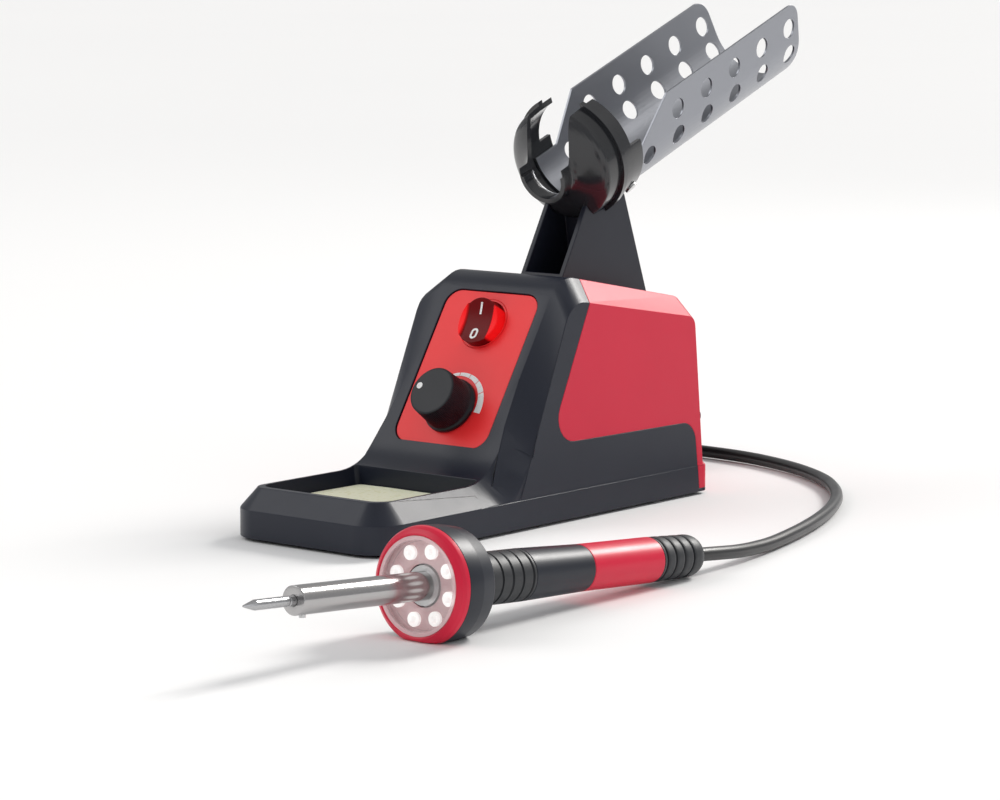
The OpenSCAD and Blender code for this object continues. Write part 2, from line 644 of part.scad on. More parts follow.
// Side outline of the tower, or of its hollow, which is open at the front
function tower_outline(t) = let (out = t > 0 ? 20 : 0, up = t > 0 ? t + 3 : 0)
  [[tower_front - out, roof_z(tower_front) + up], [tower_front_y(tower_top) - out, tower_top],
  [tower_rear_y(tower_top) - t, tower_top], [tower_rear - t, roof_z(tower_rear) + t]];
module holder_tower() {
  color([0.12, 0.12, 0.13]) difference() {
    union() {
      difference() {
        across(tower_w / 2) polygon(tower_outline(0));
        across(tower_w / 2 - tower_wall) polygon(tower_outline(tower_wall));
      }
      // Inner rib, slanting down and back from the ring
      across(tower_w / 2) polygon([[tower_front + 22, tower_top], [tower_front + 25, tower_top],
        [tower_front + 33, roof_z(tower_front + 33) + 1], [tower_front + 31, roof_z(tower_front + 31) + 1]]);
    }
    on_holder() funnel_solid();
    on_holder(collar_z) cylinder(100, collar_r + 0.1, collar_r + 0.1);
    for (y = tower_screw_y) translate([0, y, 0]) cylinder(roof_h + 4, 1.5, 1.5);
  }
}
module tower_screws() {
  color([0.6, 0.6, 0.62]) for (y = tower_screw_y) translate([0, y, roof_z(y)]) {
    translate([0, 0, -wall - 3]) cylinder(1.6, 3, 3);
    translate([0, 0, -wall - 2]) cylinder(wall + 3.4, 1.45, 1.45);
  }
}

// Cord outlets in the rear wall: the frame's Z points out of the wall
relief_z = 30;
relief_at = [-24, 24];
relief_neck_r = 4;
relief_l = 13;
flange_out = 6.4;
// Room for the lean of the wall under the flange
flange_gap = flange_out * tan(rear_lean) + 0.05;
module on_rear(x, out = 0) {
  translate([x, back_y(relief_z), relief_z]) rotate([-90, 0, 0]) translate([0, 0, out]) children();
}
module outlet(bore) {
  difference() {
    union() {
      translate([0, 0, flange_gap]) cylinder(2.4 - flange_gap, flange_out, flange_out);
      translate([0, 0, -wall - 3]) cylinder(wall + 4, relief_neck_r, relief_neck_r);
      translate([0, 0, -wall - 3.4]) cylinder(1.6, 5.4, 5.4);
      translate([0, 0, 2.3]) cylinder(relief_l - 2.3, 4.8, cord_d / 2 + 0.9);
    }
    translate([0, 0, -10]) cylinder(bore, cord_d / 2 + 0.05, cord_d / 2 + 0.05);
  }
}
module cord_relief() { color([0.08, 0.08, 0.08]) on_rear(relief_at[0]) outlet(8); }
module mains_gland() { color([0.08, 0.08, 0.08]) on_rear(relief_at[1]) outlet(40); }

// Iron: its own frame has its origin in the lens's front, Z towards the rear end and -Y up
head_l = 17.6;
lens_h = 18.4;
iron_len = 154;
iron_fall = asin((lens_h - butt_r) / (iron_len - 6.4));
lens_y = front_y - 101.5;
module on_iron(s = 0) {
  translate([iron_x, lens_y, lens_h]) rotate([-90 - iron_fall, 0, 0]) translate([0, 0, s]) children();
}
module bench_cut() { translate([iron_x - 50, lens_y - 120, -60]) cube([100, 320, 60]); }

point_l = 5;
module iron_tip() {
  color([0.7, 0.7, 0.72]) on_iron(-barrel_l - tip_l) rotate_extrude() polygon([[0, 0], [0.25, 0], [0.5, 0.6],
    [tip_r, point_l], [tip_r, tip_l + 24], [0, tip_l + 24]]);
}
module tip_screw() {
  color([0.55, 0.55, 0.57]) on_iron(-barrel_l + 4.5) rotate([-90, 0, 0]) translate([0, 0, tip_r])
    cylinder(barrel_r - tip_r + 0.9, 1.1, 1.1);
}
barrel_back = 16;
bore_from = 9;
module barrel() {
  color([0.6, 0.6, 0.62]) on_iron(-barrel_l) difference() {
    rotate_extrude() polygon([[0, 0], [barrel_r - 0.5, 0], [barrel_r, 0.5],
      [barrel_r, barrel_l + barrel_back], [0, barrel_l + barrel_back]]);
    translate([0, 0, -1]) cylinder(bore_from + 2, tip_r + 0.03, tip_r + 0.03);
    translate([0, 0, bore_from]) cylinder(100, barrel_r - 0.8, barrel_r - 0.8);
    translate([0, 0, 4.5]) rotate([-90, 0, 0]) cylinder(10, 1.13, 1.13);
  }
}
module heater_core() {
  color([0.9, 0.88, 0.84]) on_iron(-barrel_l + bore_from + 1) difference() {
    cylinder(barrel_l + barrel_back - bore_from - 3, barrel_r - 1.1, barrel_r - 1.1);
    translate([0, 0, -1]) cylinder(20, tip_r + 0.03, tip_r + 0.03);
  }
}
module barrel_collar() {
  color([0.62, 0.62, 0.64]) on_iron(3.2) difference() {
    union() { cylinder(2.4, eye_r - 0.4, eye_r - 0.4); cylinder(9, barrel_r + 1.2, barrel_r + 1.2); }
    translate([0, 0, -1]) cylinder(20, barrel_r + 0.02, barrel_r + 0.02);
  }
}
lens_t = 3.6;
lamp_ring_r = (lens_r + eye_r) / 2;
lamp_r = 2.5;
module lamp_spots() {
  for (i = [0:lamp_count - 1]) rotate([0, 0, i * 360 / lamp_count + 15])
    translate([0, lamp_ring_r, 0]) children();
}
module lens_ring() {
  color([0.9, 0.9, 0.95, 0.5]) on_iron() difference() {
    tube(lens_r, eye_r, lens_t);
    translate([0, 0, 1]) lamp_spots() cylinder(lens_t, lamp_r + 0.25, lamp_r + 0.25);
  }
}
module lamps() {
  color([1, 1, 0.95]) on_iron(lens_t + 0.1) lamp_spots() {
    translate([0, 0, -1.2]) cylinder(1.2, lamp_r, lamp_r);
    intersection() {
      translate([0, 0, -1.2]) sphere(1.25, $fn = 32);
      translate([0, 0, -2.4]) cylinder(1.21, 2, 2);
    }
  }
}
module lamp_board() {
  color([0.85, 0.3, 0.3]) on_iron(lens_t + 0.1) tube(lens_r - 0.2, eye_r + 0.2, 1.2);
}
seam_s = 3.8;
module head_ring() {
  color([0.78, 0.1, 0.15]) difference() {
    on_iron() rotate_extrude($fn = 96) polygon([[lens_r + fit, 0], [lens_r + 0.6, -0.2],
      [head_r - 1.2, 0.9], [head_r - 0.5, 1.8], [head_r, seam_s], [head_r - 1.6, seam_s],
      [head_r - 1.6, 8], [lens_r + fit, 8]]);
    bench_cut();
  }
}
module head_shell() {
  color([0.11, 0.12, 0.13]) difference() {
    on_iron() rotate_extrude($fn = 96) polygon([[head_r - 1.6, seam_s], [head_r, seam_s], [head_r - 0.2, 11],
      [head_r - 1, head_l], [head_r - 2.2, head_l + 1.2], [grip_r + 2, 24], [grip_r, 24],
      [core_r, 24], [core_r, 21], [head_r - 4, head_l - 1.6], [head_r - 3, 9], [head_r - 3, 8],
      [head_r - 1.6, 8]]);
    bench_cut();
  }
}
core_r = 6.6;
groove_d = 0.7;
groove_w = 0.9;
// Outline of a sleeve round the handle from s0 to s1, with grooves at the listed places
module sleeve(s0, s1, r0, r1, grooves, hole) {
  long = s1 - s0;
  on_iron(s0) difference() {
    rotate_extrude() polygon([[hole, 0], [r0 - 0.3, 0], [r0, 0.3], [r1, long - 0.3], [r1 - 0.3, long],
      [hole, long]]);
    for (g = grooves) translate([0, 0, g - s0 - groove_w / 2])
      tube(r0 + 2, r0 + (r1 - r0) * (g - s0) / long - groove_d, groove_w);
  }
}
grip_end = 52.5;
band_end = 86;
red_end = 126.6;
mid_r = 8.4;
end_l = iron_len - red_end;
end_grooves = [128.6, 134, 139.5, 145];
module front_grip() {
  color([0.1, 0.1, 0.11]) sleeve(24, grip_end, grip_r, grip_r, [for (i = [0:4]) 28.7 + i * 5.5], core_r);
}
module handle_band() { color([0.11, 0.12, 0.13]) sleeve(grip_end, band_end, grip_r, mid_r, [], core_r); }
module handle_sleeve() { color([0.78, 0.1, 0.15]) sleeve(band_end, red_end, mid_r, mid_r - 0.1, [], core_r); }
module handle_end() {
  color([0.1, 0.1, 0.11]) difference() {
    on_iron(red_end) rotate_extrude() polygon(concat(
      [[cord_d / 2 + 0.1, 0], [mid_r - 0.3, 0], [mid_r - 0.1, 0.4], [butt_r, 17]],
      [for (i = [0:6]) [butt_r - 3 + 3 * cos(15 * i), 21 + 3 * sin(15 * i)]],
      [[cord_d / 2 + 1, end_l - 1], [cord_d / 2 + 0.6, end_l], [cord_d / 2 + 0.1, end_l]]));
    on_iron(red_end - 1) cylinder(19, core_r, core_r);
    for (g = end_grooves) on_iron(g - groove_w / 2) tube(butt_r + 2, butt_r - groove_d, groove_w);
  }
}
module handle_core() {
  color([0.16, 0.16, 0.17]) on_iron(21.2) difference() {
    cylinder(red_end + 16 - 21.2, core_r - fit, core_r - fit);
    translate([0, 0, -1]) cylinder(200, core_r - 1.8, core_r - 1.8);
  }
}
module cord_clamp() {
  color([0.3, 0.3, 0.32]) on_iron(red_end + 4) tube(core_r - 1.9, cord_d / 2 - 0.6, 7);
}

// Iron's cord: the route on the bench, chosen by hand, then the coil, then the way to the rear wall
cord_r = cord_d / 2;
cord_sides = 10;
bench_z = 2.7;
coil_c = [-40, 151];
route = [[146, -51.7, 7.3], [146, -44, 6.6], [145.6, -34, 5.6], [144.4, -21, 4.3], [142, -7, 3.3],
  [139, 8, bench_z], [134.6, 26, bench_z], [129, 45, bench_z], [121.5, 66, bench_z],
  [112, 88, bench_z], [100, 110, bench_z],
  [85.5, 130, bench_z], [69, 147, bench_z], [50, 160.5, bench_z], [29, 171, bench_z], [7, 178, bench_z],
  [-16, 180.6, bench_z], [-38, 180, bench_z]];
tail = [[-42, 180, 24.6], [-53.5, 176.6, 25.4], [-63, 168.5, 26.6], [-68.4, 158, 28], [-69.2, 147, 29.2],
  [-66, 137, 30], [-59, 129.4, 30.4], [-48, 126.6, 30.4], [-36.5, 125.8, 30.2], [-27.8, 122.4, 30],
  [-24.2, 117.4, 30], [-24, 115.1, 30]];
// A point on the smooth curve through four route points
function glide(a, b, c, d, t) = 0.5 * (2 * b + (c - a) * t + (2 * a - 5 * b + 4 * c - d) * t * t
  + (3 * b - a - 3 * c + d) * t * t * t);
function smooth_route(p, n) = let (m = len(p) - 1)
  concat([for (i = [0:m - 1], k = [0:n - 1])
    glide(p[max(i - 1, 0)], p[i], p[i + 1], p[min(i + 2, m)], k / n)], [p[m]]);
function heading(p, i) = unit(p[min(i + 1, len(p) - 1)] - p[max(i - 1, 0)]);
function ring_points(p, d) = let (side = unit(cross(d, [0, 0, 1])), over = cross(side, d))
  [for (k = [0:cord_sides - 1]) let (a = 360 * k / cord_sides)
    p + cord_r * (cos(a) * side + sin(a) * over)];
module cord_along(p) { loft([for (i = [0:len(p) - 1]) ring_points(p[i], heading(p, i))]); }
module iron_cord() { color([0.1, 0.1, 0.1]) cord_along(smooth_route(route, 2)); }
module cord_tail() { color([0.1, 0.1, 0.1]) cord_along(smooth_route(tail, 1)); }
coil_pitch = 5.4;
module cord_coil() {
  h = coil_turns * coil_pitch + cord_d;
  color([0.1, 0.1, 0.1]) translate([coil_c.x, coil_c.y, bench_z - cord_r])
    rotate_extrude() translate([coil_r - cord_r, 0]) square([cord_d, h]);
}

front_housing();
bottom_plate();
plate_screws();
feet();
rear_cover();
control_panel();
scale_marks();
switch_body();
switch_pin();
switch_lamp();
rocker();
rocker_marks();
temp_knob();
knob_dot();
pot_body();
pot_nut();
pot_shaft();
circuit_board();
board_posts();
board_screws();
board_parts();
terminal_block();
sponge();
holder_tower();
tower_screws();
cradle();
trough();
trough_rivets();
cord_relief();
mains_gland();
iron_cord();
cord_coil();
cord_tail();
iron_tip();
tip_screw();
barrel();
heater_core();
barrel_collar();
lens_ring();
lamps();
lamp_board();
head_ring();
head_shell();
front_grip();
handle_band();
handle_core();
handle_sleeve();
handle_end();
cord_clamp();
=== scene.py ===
import json
import math
import bmesh
import bpy
import numpy as np
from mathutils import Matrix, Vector


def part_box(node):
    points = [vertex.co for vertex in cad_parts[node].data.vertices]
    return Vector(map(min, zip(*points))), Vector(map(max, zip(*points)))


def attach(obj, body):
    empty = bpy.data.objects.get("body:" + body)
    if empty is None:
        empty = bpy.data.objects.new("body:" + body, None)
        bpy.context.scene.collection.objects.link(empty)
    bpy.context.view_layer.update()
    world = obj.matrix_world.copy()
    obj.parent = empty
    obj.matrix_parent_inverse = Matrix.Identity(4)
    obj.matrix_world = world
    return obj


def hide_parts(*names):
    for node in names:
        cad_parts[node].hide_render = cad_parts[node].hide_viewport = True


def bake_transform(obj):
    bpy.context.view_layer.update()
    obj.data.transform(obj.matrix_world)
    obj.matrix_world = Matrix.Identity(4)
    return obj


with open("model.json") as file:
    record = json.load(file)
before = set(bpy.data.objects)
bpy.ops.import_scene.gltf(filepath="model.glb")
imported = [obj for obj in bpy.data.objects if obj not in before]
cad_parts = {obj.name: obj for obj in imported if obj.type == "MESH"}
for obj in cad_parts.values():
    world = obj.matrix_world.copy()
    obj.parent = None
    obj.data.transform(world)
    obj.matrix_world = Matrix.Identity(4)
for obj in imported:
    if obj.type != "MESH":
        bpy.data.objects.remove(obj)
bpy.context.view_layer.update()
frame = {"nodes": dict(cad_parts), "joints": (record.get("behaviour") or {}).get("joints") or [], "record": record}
mm = 0.001
record = frame["record"]
bodyOf = {node: body for body, nodes in record["behaviour"]["bodies"].items() for node in nodes}
joints = {joint["name"]: joint for joint in frame["joints"]}
print("frame loaded:", len(frame["nodes"]), "nodes")

# Camera and cords

camera = {"aim": (0.0331, -0.0253, 0.0519), "distance": 1.35, "azimuth": 39.508, "down": 7.757, "lens": 124.7}
data = bpy.data.cameras.new("camera")
data.lens = camera["lens"]
data.sensor_width = 36
data.clip_end = 100
eye = bpy.data.objects.new("camera", data)
bpy.context.scene.collection.objects.link(eye)
turn = math.radians(camera["azimuth"])
drop = math.radians(camera["down"])
sight = Vector((-math.sin(turn) * math.cos(drop), math.cos(turn) * math.cos(drop), -math.sin(drop)))
eye.location = Vector(camera["aim"]) - camera["distance"] * sight
eye.rotation_euler = (math.pi / 2 - drop, 0, turn)
bpy.context.scene.camera = eye


# A surface from rings of points, rings[i, j]: each ring is closed, and neighbours are joined by quads. A fan
# closes each end, or, when looped, the last ring is joined to the first.
def ringSurface(name, rings, looped=False, sharp=40):
    count, around = rings.shape[:2]
    index = np.arange(count * around).reshape(count, around)
    low = index if looped else index[:-1]
    high = np.roll(index, -1, axis=0) if looped else index[1:]
    quads = np.stack([low, np.roll(low, -1, 1), np.roll(high, -1, 1), high], -1).reshape(-1, 4)
    points = rings.reshape(-1, 3)
    faces = quads.tolist()
    if not looped:
        points = np.vstack([points, rings[0].mean(0), rings[-1].mean(0)])
        first = np.stack([np.roll(index[0], -1), index[0], np.full(around, count * around)], -1)
        last = np.stack([index[-1], np.roll(index[-1], -1), np.full(around, count * around + 1)], -1)
        faces += first.tolist() + last.tolist()
    return surface(name, points, faces, sharp)


# Puts points and faces into a new piece: doubles merged, faces turned outwards, real edges kept sharp
def surface(name, points, faces, sharp=40):
    mesh = bpy.data.meshes.new(name)
    mesh.from_pydata(np.asarray(points, float).tolist(), [], faces)
    work = bmesh.new()
    work.from_mesh(mesh)
    bmesh.ops.remove_doubles(work, verts=work.verts, dist=1e-7)
    bmesh.ops.dissolve_degenerate(work, edges=work.edges, dist=1e-8)
    bmesh.ops.recalc_face_normals(work, faces=work.faces)
    work.to_mesh(mesh)
    work.free()
    return pieceOf(name, mesh, sharp)


def pieceOf(name, mesh, sharp):
    mesh.shade_smooth()
    mesh.set_sharp_from_angle(angle=math.radians(sharp))
    piece = bpy.data.objects.new(name, mesh)
    bpy.context.scene.collection.objects.link(piece)
    return piece


# Takes one material, rides on the body of the node that it stands for, and hides that node and the others given
def standIn(piece, material, node, *others):
    piece.data.materials.clear()
    piece.data.materials.append(material)
    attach(piece, bodyOf[node])
    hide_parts(node, *others)


# The smooth curve through all points: between two of them, a cubic whose slope at each is half the way
# between its neighbours
def smoothPath(points, steps):
    padded = np.vstack([points[:1], points, points[-1:]])
    a, b, c, d = (padded[i:len(padded) - 3 + i, None] for i in range(4))
    t = np.linspace(0, 1, steps, endpoint=False)[None, :, None]
    curve = 2 * b + (c - a) * t + (2 * a - 5 * b + 4 * c - d) * t ** 2 + (3 * b - a - 3 * c + d) * t ** 3
    curve *= 0.5
    return np.vstack([curve.reshape(-1, 3), points[-1:]])


# Rings of a tube round a path: each point's circle is spanned by the level side direction and the one over it
def tubeRings(path, radius, sides):
    along = np.gradient(path, axis=0)
    along /= np.linalg.norm(along, axis=1, keepdims=True)
    side = np.cross(along, (0, 0, 1))
    side /= np.linalg.norm(side, axis=1, keepdims=True)
    over = np.cross(side, along)
    angle = np.linspace(0, 2 * np.pi, sides, endpoint=False)[None, :, None]
    return path[:, None] + radius * (np.cos(angle) * side[:, None] + np.sin(angle) * over[:, None])


cordWay = {
    "diameter": 5.2, "sides": 20, "steps": 6, "length": 1.166,
    "route": [(146, -51.7, 7.3), (146, -44, 6.6), (145.6, -34, 5.6), (144.4, -21, 4.3), (142, -7, 3.3),
              (139, 8, 2.7), (134.6, 26, 2.7), (129, 45, 2.7), (121.5, 66, 2.7), (112, 88, 2.7),
              (100, 110, 2.7),
              (85.5, 130, 2.7), (69, 147, 2.7), (50, 160.5, 2.7), (29, 171, 2.7), (7, 178, 2.7),
              (-16, 180.6, 2.7), (-38, 180, 2.7)],
    "tail": [(-42, 180, 24.6), (-53.5, 176.6, 25.4), (-63, 168.5, 26.6), (-68.4, 158, 28), (-69.2, 147, 29.2),
             (-66, 137, 30), (-59, 129.4, 30.4), (-48, 126.6, 30.4), (-36.5, 125.8, 30.2), (-27.8, 122.4, 30),
             (-24.2, 117.4, 30), (-24, 115.1, 30)],
    "coilMiddle": (-40, 151), "coilRadius": 29, "turns": 4, "pitch": 5.4, "perTurn": 16,
    "bendFrom": (0.112, 0.088, 0.003), "bendTo": (0.146, -0.044, 0.007),
}


# The coil's points: a circle that rises by one pitch in each turn, from its far side
def coilPoints(way):
    step = np.arange(1, way["turns"] * way["perTurn"])
    angle = np.pi / 2 + 2 * np.pi * step / way["perTurn"]
    across = way["coilMiddle"][0] + way["coilRadius"] * np.cos(angle)
    along = way["coilMiddle"][1] + way["coilRadius"] * np.sin(angle)
    return np.stack([across, along, way["diameter"] / 2 + 0.1 + way["pitch"] * step / way["perTurn"]], -1)


cordPoints = np.vstack([cordWay["route"], coilPoints(cordWay), cordWay["tail"]]) * mm
cordPath = smoothPath(cordPoints, cordWay["steps"])
cordPath[:, 2] = np.maximum(cordPath[:, 2], (cordWay["diameter"] / 2 + 0.05) * mm)
cordRings = tubeRings(cordPath, cordWay["diameter"] / 2 * mm, cordWay["sides"])
cordPiece = ringSurface("iron_cord_whole", cordRings)
print("cord:", round(float(np.linalg.norm(np.diff(cordPath, axis=0), axis=1).sum()), 4), "m")


# Shader graphs

# One socket of a graph. An expression on wires adds its Math nodes.
class Wire:
    def __init__(self, graph, socket):
        self.graph = graph
        self.socket = socket

    def math(self, operation, *values):
        return self.graph.node("Math", {"operation": operation}, dict(enumerate(values)))

    def __add__(self, other):
        return self.math("ADD", self, other)

    def __radd__(self, other):
        return self.math("ADD", other, self)

    def __sub__(self, other):
        return self.math("SUBTRACT", self, other)

    def __rsub__(self, other):
        return self.math("SUBTRACT", other, self)

    def __mul__(self, other):
        return self.math("MULTIPLY", self, other)

    def __rmul__(self, other):
        return self.math("MULTIPLY", other, self)

    def __truediv__(self, other):
        return self.math("DIVIDE", self, other)

    def __gt__(self, other):
        return self.math("GREATER_THAN", self, other)

    def __abs__(self):
        return self.math("ABSOLUTE", self)


class Graph:
    def __init__(self, name):
        self.material = bpy.data.materials.new(name)
        self.material.use_nodes = True
        self.tree = self.material.node_tree
        self.shader = self.tree.nodes["Principled BSDF"]

    # Adds a node: its settings first, then its sockets by name or number, as values or as wires
    def node(self, kind, settings=None, sockets=None, output=0):
        made = self.tree.nodes.new("ShaderNode" + kind)
        for key, value in (settings or {}).items():
            if key == "stops":
                ramp = made.color_ramp
                ramp.elements[0].position, ramp.elements[0].color = value[0]
                ramp.elements[1].position, ramp.elements[1].color = value[-1]
                for position, color in value[1:-1]:
                    ramp.elements.new(position).color = color
            else:
                setattr(made, key, value)
        self.plug(made, sockets or {})
        return Wire(self, made.outputs[output])

    def plug(self, made, sockets):
        for key, value in sockets.items():
            if isinstance(value, Wire):
                self.tree.links.new(value.socket, made.inputs[key])
            else:
                made.inputs[key].default_value = value

    def place(self, scale=(1, 1, 1), rotation=(0, 0, 0), location=(0, 0, 0)):
        spot = self.node("TexCoord", output="Object")
        sockets = {"Vector": spot, "Scale": scale, "Rotation": rotation, "Location": location}
        return self.node("Mapping", {}, sockets)

    def noise(self, scale, detail=3, where=None, rough=0.5):
        sockets = {"Vector": where or self.place(), "Scale": scale, "Detail": detail, "Roughness": rough}
        return self.node("TexNoise", {}, sockets)

    def blend(self, factor, first, second):
        return self.node("Mix", {"data_type": "RGBA"}, {0: factor, 6: rgba(first), 7: rgba(second)}, 2)

    def step(self, value, low, high):
        return self.node("MapRange", {"interpolation_type": "SMOOTHSTEP"}, {0: value, 1: low, 2: high})

    def bump(self, height, distance, strength=1.0):
        return self.node("Bump", {}, {"Height": height, "Distance": distance, "Strength": strength})

    def done(self, **sockets):
        self.plug(self.shader, {key.replace("_", " "): value for key, value in sockets.items()})
        return self.material


def rgba(color):
    return color if isinstance(color, Wire) else (*color, 1) if len(color) == 3 else color


# Moulded plastic: a fine even grain, faint cloudy colour, and a gloss that varies where hands have been
def moulded(name, color, rough, grain=2200, depth=1.6e-5, coat=0.0, cloud=0.12, spread=0.1):
    graph = Graph(name)
    clouds = graph.noise(26, 4)
    pale = tuple(min(1, c * (1 + cloud) + 0.002) for c in color)
    deep = tuple(c * (1 - cloud) for c in color)
    fine = graph.noise(grain, 2)
    smudge = graph.noise(75, 5, rough=0.65)
    shade = graph.blend(clouds, deep, pale)
    gloss = rough - spread / 2 + spread * smudge + 0.04 * (fine - 0.5)
    return graph.done(Base_Color=shade, Roughness=gloss, Coat_Weight=coat, Coat_Roughness=0.12,
                      Specular_IOR_Level=0.36, Normal=graph.bump(fine, depth))


# Rubber: duller than plastic, with a slightly dusty bloom in patches
def rubber(name, color, rough=0.55, bloom=0.35, grain=1500, depth=2.2e-5):
    graph = Graph(name)
    dust = graph.step(graph.noise(55, 5, rough=0.6), 0.45, 0.8)
    fine = graph.noise(grain, 3)
    shade = graph.blend(dust * bloom, color, tuple(0.03 + 1.5 * c for c in color))
    return graph.done(Base_Color=shade, Roughness=rough + 0.12 * dust + 0.05 * fine,
                      Normal=graph.bump(fine, depth))


# Metal with lines that run one way: noise stretched along the axis of the pattern
def lined(name, color, rough, stretch, rotation=(0, 0, 0), depth=6e-6, spread=0.16, cloud=0.1):
    graph = Graph(name)
    streak = graph.noise(1, 4, graph.place(stretch, rotation), 0.6)
    blotch = graph.noise(38, 4)
    shade = graph.blend(0.5 * streak + 0.5 * blotch, tuple(c * (1 - cloud) for c in color), color)
    gloss = rough + spread * (streak - 0.5) + 0.07 * blotch
    return graph.done(Base_Color=shade, Metallic=1.0, Roughness=gloss, Normal=graph.bump(streak, depth))


def whitePrint():
    graph = Graph("white print")
    worn = graph.step(graph.noise(900, 4), 0.3, 0.42)
    return graph.done(Base_Color=graph.blend(worn, (0.7, 0.62, 0.62), (0.9, 0.9, 0.9)),
                      Roughness=0.4 + 0.1 * worn)


# Rocker: dark red in its middle saddle and bright at its two sides, both painted: painted shade in the saddle and
# a painted highlight, with a painted glow, on the sides
def redWithPaintedGlow(middle, reach):
    graph = Graph("red plastic with painted shade and glow")
    spot = graph.place(location=(-middle[0], 0, 0))
    across = graph.node("SeparateXYZ", {}, {0: spot})
    # Mask of the two sides: the painted highlight and painted glow go there, painted shade between them
    side = graph.step(abs(across), reach - 0.0006, reach + 0.0008)
    paintedGlowNoise = graph.noise(160, 2)
    # Dark red is painted shade in the saddle, bright red a painted highlight on the sides
    shade = graph.blend(side, (0.13, 0.001, 0.002), (0.75, 0.006, 0.01))
    # Emission on the sides: a painted glow standing in for light falling on them
    paintedGlow = graph.blend(side * (0.6 + 0.8 * paintedGlowNoise), (0.05, 0, 0.001), (0.9, 0.01, 0.01))
    return graph.done(Base_Color=shade, Roughness=0.3 + 0.05 * paintedGlowNoise, Specular_IOR_Level=0.12,
                      Emission_Color=paintedGlow, Emission_Strength=0.35)


# Cellulose sponge: pale green-yellow, with fine and coarse pores; the coarse pores carry painted shade
def spongeFoam():
    graph = Graph("cellulose sponge")
    coarse = graph.node("TexVoronoi", {}, {"Vector": graph.place(), "Scale": 420})
    fine = graph.node("TexVoronoi", {}, {"Vector": graph.place(), "Scale": 1100})
    patch = graph.noise(34, 4)
    pore = graph.step(coarse + 0.3 * (patch - 0.5), 0.1, 0.42)
    height = pore + 0.4 * graph.step(fine, 0.1, 0.5)
    # Pore spots get the darker, deeper yellow colour: painted shade in the pores that the bump sinks
    shade = graph.blend(pore, (0.9, 0.9, 0.6), graph.blend(patch, (0.97, 0.98, 0.72), (1, 1, 0.8)))
    return graph.done(Base_Color=shade, Roughness=0.85 + 0.1 * patch, Normal=graph.bump(height, 2.5e-4, 0.7))


def clearLens(middle, rim):
    graph = Graph("clear lens")
    spot = graph.place(location=(-middle[0], -middle[1], -middle[2]))
    reach = graph.node("VectorMath", {"operation": "LENGTH"}, {0: spot}, "Value")
    edge = graph.step(reach, rim - 0.0013, rim - 0.0007)
    haze = graph.noise(260, 3)
    shade = graph.blend(edge, (0.97, 0.96, 0.97), (0.9, 0.62, 0.64))
    return graph.done(Base_Color=shade, Roughness=0.06 + 0.25 * edge + 0.05 * haze, Alpha=0.16 + 0.5 * edge,
                      Specular_IOR_Level=0.9, Coat_Weight=0.6, Coat_Roughness=0.04)


# Lamps: pale grey-white; their emission is a painted glow standing in for the bright white reflections on them
def lampWhite():
    graph = Graph("lamp white")
    patch = graph.noise(700, 2)
    shade = graph.blend(patch, (0.8, 0.78, 0.76), (0.9, 0.89, 0.88))
    # Emission: painted glow for the lamps' reflections
    return graph.done(Base_Color=shade, Roughness=0.2 + 0.1 * patch, Emission_Color=shade,
                      Emission_Strength=0.6)


def reflectorPink():
    graph = Graph("reflector")
    patch = graph.noise(240, 4)
    shade = graph.blend(patch, (0.62, 0.28, 0.3), (0.86, 0.62, 0.62))
    return graph.done(Base_Color=shade, Roughness=0.25 + 0.2 * patch, Metallic=0.25)


def greenBoard():
    graph = Graph("circuit board")
    sockets = {"Vector": graph.place(), "Scale": 90, "Mortar Size": 0.03}
    track = graph.node("TexBrick", {"offset": 0.5}, sockets)
    shade = graph.blend(track, (0.02, 0.17, 0.07), (0.04, 0.3, 0.12))
    return graph.done(Base_Color=shade, Roughness=0.3 + 0.1 * graph.noise(300), Coat_Weight=0.4)


tilt = math.radians(21.3)
blackCase = moulded("black case plastic", (0.012, 0.015, 0.027), 0.36)
redCase = moulded("red case plastic", (0.66, 0.008, 0.042), 0.36, grain=2600, depth=1.0e-5, cloud=0.05)
redPanel = moulded("red panel plastic", (0.95, 0.028, 0.032), 0.4, grain=2600, depth=0.8e-5, cloud=0.05)
towerBlack = moulded("tower plastic", (0.012, 0.015, 0.026), 0.42)
cradleBlack = moulded("cradle plastic", (0.016, 0.017, 0.02), 0.2, depth=0.6e-5, coat=0.5, spread=0.08)
knobBlack = moulded("knob plastic", (0.004, 0.005, 0.009), 0.42, depth=1.0e-5)
ironRed = moulded("iron red plastic", (0.68, 0.009, 0.045), 0.34, grain=2600, depth=0.8e-5, cloud=0.05)
ironBlack = moulded("iron black plastic", (0.01, 0.013, 0.022), 0.36, depth=1.0e-5)
partBlack = moulded("small parts plastic", (0.02, 0.02, 0.022), 0.45)
terminalGreen = moulded("terminal plastic", (0.05, 0.25, 0.1), 0.45)
ceramic = moulded("ceramic", (0.82, 0.8, 0.75), 0.5, cloud=0.03)
gripRubber = rubber("grip rubber", (0.018, 0.02, 0.024), 0.42, 0.2)
footRubber = rubber("foot rubber", (0.015, 0.015, 0.016), 0.7)
cordRubber = rubber("cord rubber", (0.012, 0.012, 0.013), 0.27, 0.12, grain=2600, depth=0.8e-5)
sheetMetal = lined("rolled sheet", (0.3, 0.31, 0.34), 0.3, (1500, 30, 1500), (-tilt, 0, 0))
barrelSteel = lined("barrel steel", (0.46, 0.45, 0.45), 0.15, (500, 5000, 500), depth=3e-6, spread=0.1)
tipMetal = lined("tip plating", (0.46, 0.46, 0.47), 0.22, (900, 3000, 900), depth=4e-6)
screwSteel = lined("plated steel", (0.6, 0.6, 0.6), 0.3, (900, 900, 900))
printWhite = whitePrint()
print("materials made")


# Housing, holder and other moulded shapes

